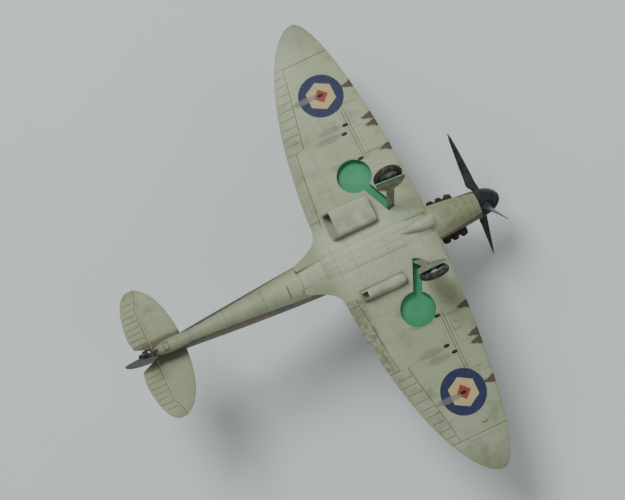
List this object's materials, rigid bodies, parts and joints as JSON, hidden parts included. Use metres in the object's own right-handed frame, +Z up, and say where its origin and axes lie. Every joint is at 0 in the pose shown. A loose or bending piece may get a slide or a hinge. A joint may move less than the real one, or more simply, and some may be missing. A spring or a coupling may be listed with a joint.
{
  "type": "propeller plane model",
  "caption": "Small painted plastic model of a low elliptical-wing single-seat propeller aeroplane on its wheels, with turning propeller, folding legs and sliding hood.",
  "frame": {"origin": "centre of the bounding box at ground level, under the middle of the model standing on its three wheels", "axes": "+Z up, nose towards -Y, +X towards the left (port) wing tip"},
  "size_m": [0.1544, 0.1272, 0.0529],
  "materials": {
    "sky_paint": "matt pale duck-egg green paint, weathered",
    "camouflage_paint": "matt dark green and dark earth paint over pale green",
    "interior_green": "matt bright interior green paint",
    "cockpit_green": "matt grey-green paint",
    "propeller_black": "satin black paint, worn at the tips",
    "tyre_black": "matt dark rubber-black paint",
    "exhaust_rust": "matt red-brown rust paint",
    "clear_plastic": "clear polystyrene",
    "steel_paint": "satin aluminium paint",
    "steel_wire": "bare steel",
    "dark_metal": "matt dark metal paint",
    "seat_brown": "matt red-brown paint"
  },
  "bodies": {
    "airframe": {"fuselage_left": "camouflage_paint", "fuselage_right": "camouflage_paint", "wing_lower": "sky_paint", "wing_upper_left": "camouflage_paint", "wing_upper_right": "camouflage_paint", "wheel_well_left": "interior_green", "wheel_well_right": "interior_green", "tailplane_left": "sky_paint", "tailplane_right": "sky_paint", "rudder": "camouflage_paint", "prop_bush": "dark_metal", "gear_pin_left": "steel_wire", "gear_pin_right": "steel_wire", "tail_wheel_leg": "dark_metal", "radiator_housing": "sky_paint", "radiator_matrix": "dark_metal", "oil_cooler_housing": "sky_paint", "oil_cooler_matrix": "dark_metal", "carburettor_intake": "sky_paint", "exhaust_left": "exhaust_rust", "exhaust_right": "exhaust_rust", "windscreen": "clear_plastic", "rear_glazing": "clear_plastic", "cockpit_floor": "cockpit_green", "instrument_panel": "dark_metal", "cockpit_bulkhead": "cockpit_green", "seat": "seat_brown", "headrest": "seat_brown", "control_column": "dark_metal", "gunsight": "dark_metal", "aerial_mast": "camouflage_paint", "pitot_base": "sky_paint"},
    "propeller": {"propeller": "propeller_black", "spinner": "propeller_black", "spinner_backplate": "propeller_black", "prop_shaft": "steel_wire", "prop_collar": "dark_metal"},
    "gear_left": {"gear_leg_left": "steel_paint", "gear_door_left": "sky_paint"},
    "gear_right": {"gear_leg_right": "steel_paint", "gear_door_right": "sky_paint"},
    "wheel_left": {"tyre_left": "tyre_black", "wheel_hub_left": "steel_paint"},
    "wheel_right": {"tyre_right": "tyre_black", "wheel_hub_right": "steel_paint"},
    "tail_wheel": {"tail_tyre": "tyre_black", "tail_hub": "steel_paint"},
    "hood": {"sliding_hood": "clear_plastic"}
  },
  "joints": [
    {"name": "propeller_spin", "type": "hinge", "parent": "airframe", "child": "propeller", "pos_m": [0, -0.05822, 0.03288], "axis": [0, 0.9732, -0.23], "continuous": true},
    {"name": "gear_left_fold", "type": "hinge", "parent": "airframe", "child": "gear_left", "pos_m": [0.0094, -0.03275, 0.01673], "axis": [0.2063, -0.8151, 0.5413], "range_deg": [0, 74.39]},
    {"name": "gear_right_fold", "type": "hinge", "parent": "airframe", "child": "gear_right", "pos_m": [-0.0094, -0.03275, 0.01673], "axis": [0.2063, 0.8151, -0.5413], "range_deg": [0, 74.39]},
    {"name": "wheel_left_spin", "type": "hinge", "parent": "gear_left", "child": "wheel_left", "pos_m": [0.01609, -0.03723, 0.00446], "axis": [-0.9311, -0.0839, -0.3551], "continuous": true},
    {"name": "wheel_right_spin", "type": "hinge", "parent": "gear_right", "child": "wheel_right", "pos_m": [-0.01609, -0.03723, 0.00446], "axis": [0.9311, -0.0839, -0.3551], "continuous": true},
    {"name": "tail_wheel_spin", "type": "hinge", "parent": "airframe", "child": "tail_wheel", "pos_m": [0, 0.05371, 0.0017], "axis": [1, 0, 0], "continuous": true},
    {"name": "hood_slide", "type": "slide", "parent": "airframe", "child": "hood", "axis": [0, 0.9732, -0.23], "range_m": [0, 0.0075]}
  ]
}
